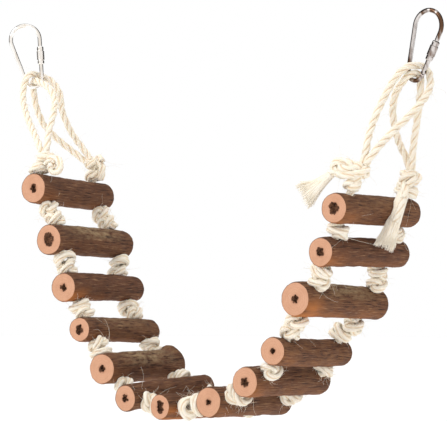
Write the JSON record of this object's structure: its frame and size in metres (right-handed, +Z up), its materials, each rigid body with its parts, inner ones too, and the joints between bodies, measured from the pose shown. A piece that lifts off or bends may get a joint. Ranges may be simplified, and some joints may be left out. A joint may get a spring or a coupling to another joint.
{
  "type": "hanging rope ladder",
  "caption": "Hanging ladder of round bark-covered twig rungs on two knotted sisal side ropes, with a screw-lock wire hook on rope loops at each end.",
  "frame": {"origin": "inside of the left hook's wide bend, where the hook sits on its support", "axes": "+X towards the right hook, +Y along the rungs away from the near side, +Z up as it hangs"},
  "size_m": [0.407, 0.1018, 0.3232],
  "materials": {
    "bark": "bark",
    "sisal": "twisted natural fibre",
    "nickel": "bright nickel plate"
  },
  "bodies": {
    "left_hook": {"left_hook_body": "nickel"},
    "left_gate": {"left_gate": "nickel", "left_gate_rivet": "nickel", "left_gate_spring": "nickel"},
    "left_sleeve": {"left_screw_sleeve": "nickel"},
    "left_loops": {"left_outer_loop": "sisal", "left_inner_loop": "sisal"},
    "right_hook": {"right_hook_body": "nickel"},
    "right_gate": {"right_gate": "nickel", "right_gate_rivet": "nickel", "right_gate_spring": "nickel"},
    "right_sleeve": {"right_screw_sleeve": "nickel"},
    "right_loops": {"right_outer_loop": "sisal", "right_inner_loop": "sisal"},
    "rung_01": {"rung_01": "bark", "front_rope_01": "sisal", "back_rope_01": "sisal", "left_front_top_knot": "sisal", "left_back_top_knot": "sisal"},
    "rung_02": {"rung_02": "bark", "front_rope_02": "sisal", "back_rope_02": "sisal"},
    "rung_03": {"rung_03": "bark", "front_rope_03": "sisal", "back_rope_03": "sisal"},
    "rung_04": {"rung_04": "bark", "front_rope_04": "sisal", "back_rope_04": "sisal"},
    "rung_05": {"rung_05": "bark", "front_rope_05": "sisal", "back_rope_05": "sisal"},
    "rung_06": {"rung_06": "bark", "front_rope_06": "sisal", "back_rope_06": "sisal"},
    "rung_07": {"rung_07": "bark", "front_rope_07": "sisal", "back_rope_07": "sisal"},
    "rung_08": {"rung_08": "bark", "front_rope_08": "sisal", "back_rope_08": "sisal"},
    "rung_09": {"rung_09": "bark", "front_rope_09": "sisal", "back_rope_09": "sisal"},
    "rung_10": {"rung_10": "bark", "front_rope_10": "sisal", "back_rope_10": "sisal"},
    "rung_11": {"rung_11": "bark", "front_rope_11": "sisal", "back_rope_11": "sisal"},
    "rung_12": {"rung_12": "bark", "front_rope_12": "sisal", "back_rope_12": "sisal"},
    "rung_13": {"rung_13": "bark", "front_rope_13": "sisal", "back_rope_13": "sisal", "right_front_top_knot": "sisal", "right_back_top_knot": "sisal", "right_front_tail": "sisal", "right_back_tail": "sisal"}
  },
  "joints": [
    {"name": "left_gate_hinge", "type": "hinge", "parent": "left_hook", "child": "left_gate", "pos_m": [0.0114, 0.00798, -0.04064], "axis": [0.5736, -0.8192, 0], "range_deg": [0, 25], "stiffness_Nm_per_rad": 0.03, "springref_deg": -20.05},
    {"name": "left_sleeve_slide", "type": "slide", "parent": "left_gate", "child": "left_sleeve", "axis": [-0.051, -0.0357, 0.9981], "range_m": [-0.004, 0.003]},
    {"name": "right_gate_hinge", "type": "hinge", "parent": "right_hook", "child": "right_gate", "pos_m": [0.3775, 0.00063, -0.06552], "axis": [-0.1392, -0.9903, 0], "range_deg": [0, 25], "stiffness_Nm_per_rad": 0.03, "springref_deg": -20.05},
    {"name": "right_sleeve_slide", "type": "slide", "parent": "right_gate", "child": "right_sleeve", "axis": [0.479, -0.0673, 0.8752], "range_m": [-0.004, 0.003]},
    {"name": "left_loop_swing", "type": "hinge", "parent": "left_hook", "child": "left_loops", "pos_m": [0.00594, 0.00416, -0.04306], "axis": [0, 1, 0], "range_deg": [-25, 18]},
    {"name": "left_top_flex", "type": "hinge", "parent": "left_loops", "child": "rung_01", "pos_m": [0.043, 0, -0.1075], "axis": [0, 1, 0], "range_deg": [-20, 20]},
    {"name": "gap_01", "type": "hinge", "parent": "rung_01", "child": "rung_02", "pos_m": [0.05879, 0, -0.15946], "axis": [0, -1, 0], "range_deg": [-12, 32]},
    {"name": "gap_02", "type": "hinge", "parent": "rung_02", "child": "rung_03", "pos_m": [0.07279, 0, -0.20012], "axis": [0, -1, 0], "range_deg": [-25, 19]},
    {"name": "gap_03", "type": "hinge", "parent": "rung_03", "child": "rung_04", "pos_m": [0.0874, 0, -0.23628], "axis": [0, -1, 0], "range_deg": [-30, 14]},
    {"name": "gap_04", "type": "hinge", "parent": "rung_04", "child": "rung_05", "pos_m": [0.10515, 0, -0.26702], "axis": [0, -1, 0], "range_deg": [-38, 6]},
    {"name": "gap_05", "type": "hinge", "parent": "rung_05", "child": "rung_06", "pos_m": [0.13248, 0, -0.29342], "axis": [0, -1, 0], "range_deg": [-41, 3]},
    {"name": "gap_06", "type": "hinge", "parent": "rung_06", "child": "rung_07", "pos_m": [0.16375, 0, -0.308], "axis": [0, -1, 0], "range_deg": [-42, 2]},
    {"name": "gap_07", "type": "hinge", "parent": "rung_07", "child": "rung_08", "pos_m": [0.2021, 0, -0.31135], "axis": [0, -1, 0], "range_deg": [-42, 2]},
    {"name": "gap_08", "type": "hinge", "parent": "rung_08", "child": "rung_09", "pos_m": [0.24026, 0, -0.30113], "axis": [0, -1, 0], "range_deg": [-43, 1]},
    {"name": "gap_09", "type": "hinge", "parent": "rung_09", "child": "rung_10", "pos_m": [0.26898, 0, -0.28026], "axis": [0, -1, 0], "range_deg": [-40, 4]},
    {"name": "gap_10", "type": "hinge", "parent": "rung_10", "child": "rung_11", "pos_m": [0.29072, 0, -0.25033], "axis": [0, -1, 0], "range_deg": [-25, 19]},
    {"name": "gap_11", "type": "hinge", "parent": "rung_11", "child": "rung_12", "pos_m": [0.31523, 0, -0.21259], "axis": [0, -1, 0], "range_deg": [-28, 16]},
    {"name": "gap_12", "type": "hinge", "parent": "rung_12", "child": "rung_13", "pos_m": [0.33158, 0, -0.18052], "axis": [0, -1, 0], "range_deg": [-38, 6]},
    {"name": "right_top_flex", "type": "hinge", "parent": "rung_13", "child": "right_loops", "pos_m": [0.3485, 0, -0.128], "axis": [0, 1, 0], "range_deg": [-20, 20]},
    {"name": "right_hook_swing", "type": "hinge", "parent": "right_loops", "child": "right_hook", "pos_m": [0.37065, 0.0016, -0.06398], "axis": [0, 1, 0], "range_deg": [-25, 25]}
  ]
}
